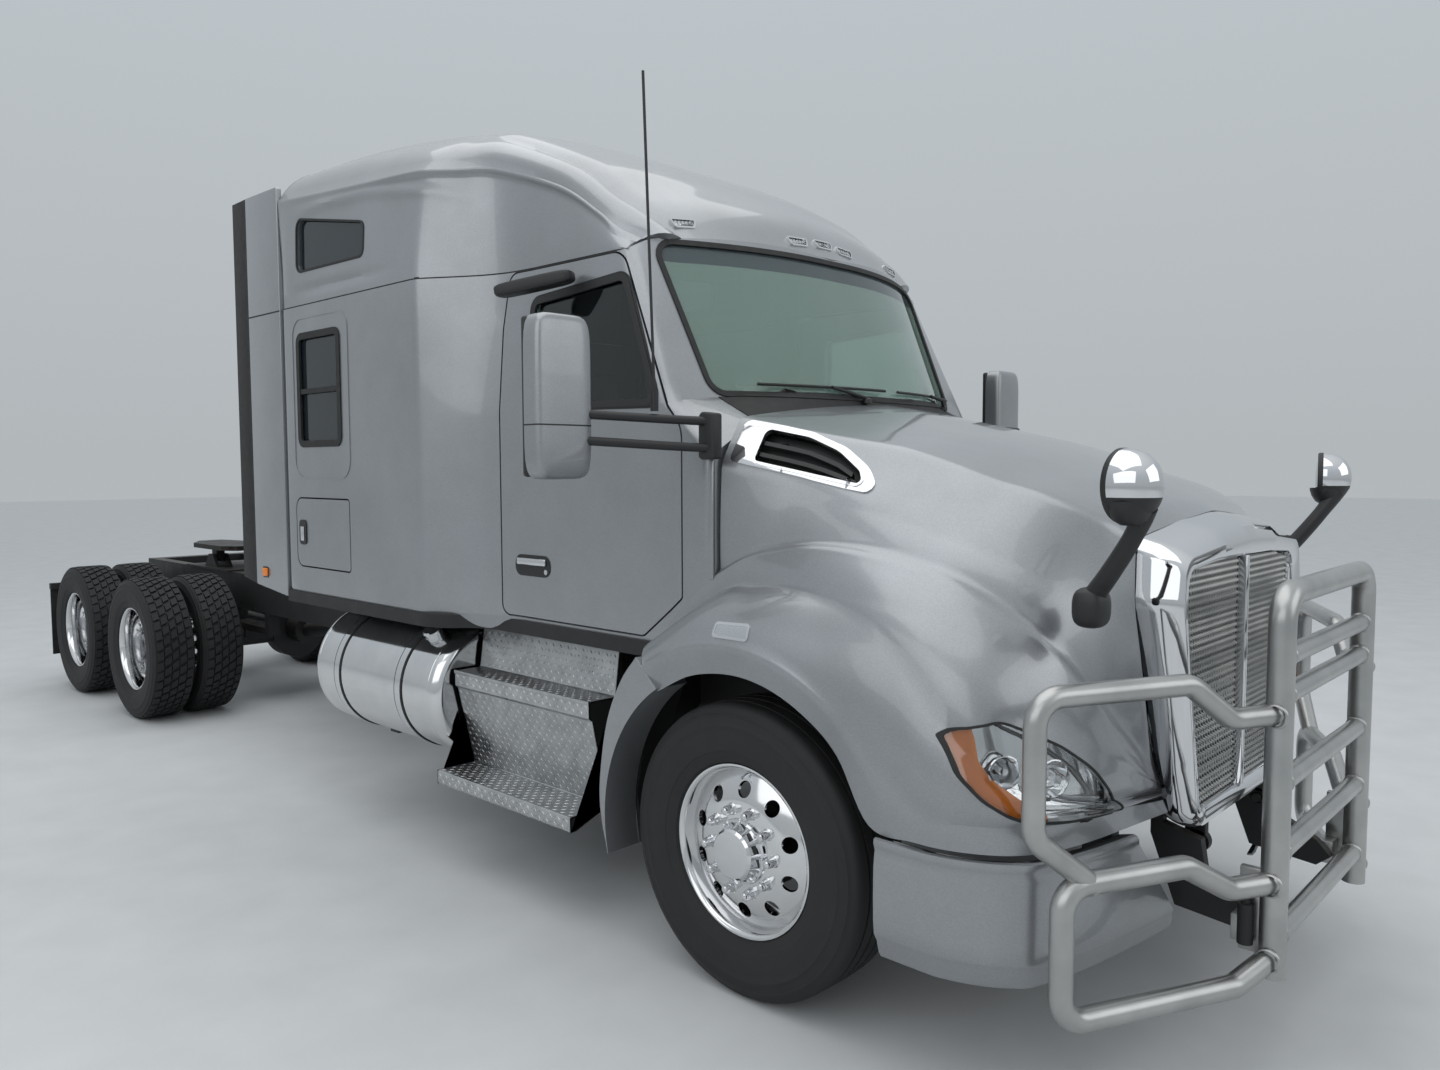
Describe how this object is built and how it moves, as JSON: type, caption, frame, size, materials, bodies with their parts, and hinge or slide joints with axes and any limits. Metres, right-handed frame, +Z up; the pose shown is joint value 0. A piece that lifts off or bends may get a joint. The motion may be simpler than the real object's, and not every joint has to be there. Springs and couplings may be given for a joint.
{
  "type": "semi truck tractor unit",
  "caption": "Conventional semi truck tractor with a raised-roof sleeper cab, tandem drive axles, fifth wheel, tilting hood and a folding tube guard ahead of the grille.",
  "frame": {"origin": "on the ground at the middle of the truck's length and width", "axes": "+X to the driver's (left) side, +Y to the rear, +Z up; the grille faces -Y"},
  "size_m": [3.26, 9.3579, 3.5798],
  "materials": {
    "silver_paint": "metallic clear coat",
    "chassis_black": "satin black paint",
    "tyre": "dull black",
    "polished_aluminium": "polished",
    "brushed_guard": "brushed",
    "tread_plate": "raised tread pattern",
    "chrome": "bright",
    "glass": "tinted",
    "clear_glass": "lightly tinted",
    "lamp_lens": "clear",
    "black_plastic": "textured",
    "rubber": "matt",
    "cast_iron": "black enamel",
    "interior_trim": "grained",
    "seat_fabric": "woven",
    "greased_steel": "greased"
  },
  "bodies": {
    "chassis": {"cab_floor": "chassis_black", "sleeper_back": "silver_paint", "cab_front": "silver_paint", "sleeper_sides": "silver_paint", "roof_cap": "silver_paint", "windshield": "clear_glass", "sleeper_glass": "glass", "side_extenders": "silver_paint", "chassis_frame": "chassis_black", "fuel_tanks": "polished_aluminium", "steps": "tread_plate", "quarter_panels": "silver_paint", "bumper": "silver_paint", "door_mirrors": "silver_paint", "antenna": "black_plastic", "engine_block": "cast_iron", "radiator": "chassis_black", "steer_axle": "chassis_black", "drive_axles": "chassis_black", "tandem_suspension": "chassis_black", "fifth_wheel_base": "chassis_black", "deck_plate": "tread_plate", "mud_flaps": "rubber", "seats": "seat_fabric", "dashboard": "interior_trim", "bunk": "seat_fabric"},
    "hood": {"hood_shell": "silver_paint", "headlamps": "lamp_lens", "hood_intakes": "chrome", "grille_surround": "chrome", "grille_mesh": "brushed_guard", "fender_mirrors": "chrome"},
    "guard": {"guard_frame": "brushed_guard"},
    "door_right": {"door_right": "silver_paint", "door_glass_right": "glass"},
    "door_left": {"door_left": "silver_paint", "door_glass_left": "glass"},
    "luggage_door_right": {"luggage_door_right": "silver_paint"},
    "luggage_door_left": {"luggage_door_left": "silver_paint"},
    "knuckle_right": {"knuckle_right": "cast_iron"},
    "knuckle_left": {"knuckle_left": "cast_iron"},
    "tie_rod": {"tie_rod": "chassis_black"},
    "steer_wheel_right": {"steer_tyre_right": "tyre", "steer_rim_right": "polished_aluminium"},
    "steer_wheel_left": {"steer_tyre_left": "tyre", "steer_rim_left": "polished_aluminium"},
    "fifth_wheel": {"fifth_wheel_plate": "greased_steel"},
    "drive_wheels_front_right": {"drive_tyres_front_right": "tyre", "drive_rims_front_right": "polished_aluminium"},
    "drive_wheels_front_left": {"drive_tyres_front_left": "tyre", "drive_rims_front_left": "polished_aluminium"},
    "drive_wheels_rear_right": {"drive_tyres_rear_right": "tyre", "drive_rims_rear_right": "polished_aluminium"},
    "drive_wheels_rear_left": {"drive_tyres_rear_left": "tyre", "drive_rims_rear_left": "polished_aluminium"}
  },
  "joints": [
    {"name": "hood_tilt", "type": "hinge", "parent": "chassis", "child": "hood", "pos_m": [0, -4.371, 0.62], "axis": [1, 0, 0], "range_deg": [0, 75]},
    {"name": "guard_fold", "type": "hinge", "parent": "chassis", "child": "guard", "pos_m": [0, -4.551, 0.44], "axis": [1, 0, 0], "range_deg": [0, 90]},
    {"name": "door_right_swing", "type": "hinge", "parent": "chassis", "child": "door_right", "pos_m": [-1.044, -2.794, 1.7], "axis": [0, 0, 1], "range_deg": [0, 55]},
    {"name": "door_left_swing", "type": "hinge", "parent": "chassis", "child": "door_left", "pos_m": [1.044, -2.794, 1.7], "axis": [0, 0, -1], "range_deg": [0, 55]},
    {"name": "luggage_right_swing", "type": "hinge", "parent": "chassis", "child": "luggage_door_right", "pos_m": [-1.214, -0.626, 1.47], "axis": [0, 0, 1], "range_deg": [0, 100]},
    {"name": "luggage_left_swing", "type": "hinge", "parent": "chassis", "child": "luggage_door_left", "pos_m": [1.214, -0.626, 1.47], "axis": [0, 0, -1], "range_deg": [0, 100]},
    {"name": "steer_right", "type": "hinge", "parent": "chassis", "child": "knuckle_right", "pos_m": [-0.864, -3.171, 0.508], "axis": [0, 0, 1], "range_deg": [-40, 40]},
    {"name": "steer_left", "type": "hinge", "parent": "chassis", "child": "knuckle_left", "pos_m": [0.864, -3.171, 0.508], "axis": [0, 0, 1], "range_deg": [-40, 40]},
    {"name": "tie_rod_pivot", "type": "hinge", "parent": "knuckle_right", "child": "tie_rod", "pos_m": [-0.864, -2.931, 0.372], "axis": [0, 0, 1], "range_deg": [-40, 40]},
    {"name": "steer_wheel_right_spin", "type": "hinge", "parent": "knuckle_right", "child": "steer_wheel_right", "pos_m": [-1.03, -3.171, 0.508], "axis": [1, 0, 0], "continuous": true},
    {"name": "steer_wheel_left_spin", "type": "hinge", "parent": "knuckle_left", "child": "steer_wheel_left", "pos_m": [1.03, -3.171, 0.508], "axis": [1, 0, 0], "continuous": true},
    {"name": "fifth_wheel_tilt", "type": "hinge", "parent": "chassis", "child": "fifth_wheel", "pos_m": [0, 3.249, 1.09], "axis": [1, 0, 0], "range_deg": [-12, 12]},
    {"name": "drive_wheels_front_right_spin", "type": "hinge", "parent": "chassis", "child": "drive_wheels_front_right", "pos_m": [-0.9, 2.709, 0.508], "axis": [1, 0, 0], "continuous": true},
    {"name": "drive_wheels_front_left_spin", "type": "hinge", "parent": "chassis", "child": "drive_wheels_front_left", "pos_m": [0.9, 2.709, 0.508], "axis": [1, 0, 0], "continuous": true},
    {"name": "drive_wheels_rear_right_spin", "type": "hinge", "parent": "chassis", "child": "drive_wheels_rear_right", "pos_m": [-0.9, 4.029, 0.508], "axis": [1, 0, 0], "continuous": true},
    {"name": "drive_wheels_rear_left_spin", "type": "hinge", "parent": "chassis", "child": "drive_wheels_rear_left", "pos_m": [0.9, 4.029, 0.508], "axis": [1, 0, 0], "continuous": true}
  ],
  "couplings": [
    {"joint": "guard_fold", "follows": "hood_tilt", "ratio": 1.2},
    {"joint": "steer_left", "follows": "steer_right", "ratio": 1},
    {"joint": "tie_rod_pivot", "follows": "steer_right", "ratio": -1}
  ]
}
